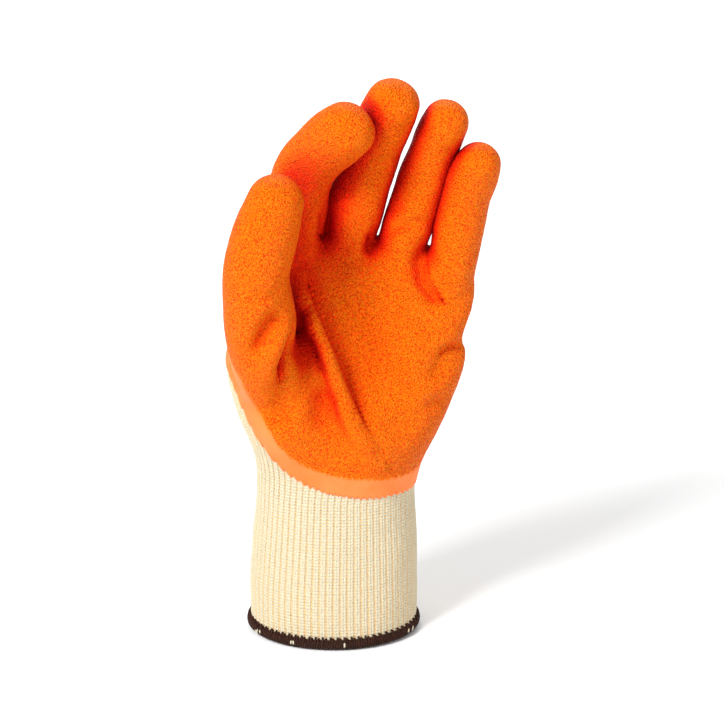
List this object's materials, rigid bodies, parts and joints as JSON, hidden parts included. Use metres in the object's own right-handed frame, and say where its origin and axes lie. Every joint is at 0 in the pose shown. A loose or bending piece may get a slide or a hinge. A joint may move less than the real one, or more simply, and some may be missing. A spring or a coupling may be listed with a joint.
{
  "type": "latex coated grip glove",
  "caption": "Knitted work glove for the left hand with a ribbed cuff, an overlocked wrist hem and a textured latex coating over the palm and fingertips",
  "frame": {"origin": "centre of the wrist opening, in the plane of its hem", "axes": "+Z from the wrist to the fingertips, +Y towards the back of the hand, +X from the thumb side to the little finger side"},
  "size_m": [0.1175, 0.0821, 0.2528],
  "materials": {
    "binding": "dark brown overlock thread, matt",
    "knit": "natural cream polycotton yarn, plain knit, matt",
    "latex": "orange latex, crinkled for grip, dull satin"
  },
  "bodies": {
    "root": {"hem_binding": "binding", "knit_cuff": "knit", "knit_heel": "knit", "knit_palm": "knit", "knit_knuckles": "knit", "knit_thumb": "knit", "knit_index": "knit", "knit_middle": "knit", "knit_ring": "knit", "knit_little": "knit", "latex_coating": "latex"}
  },
  "joints": []
}
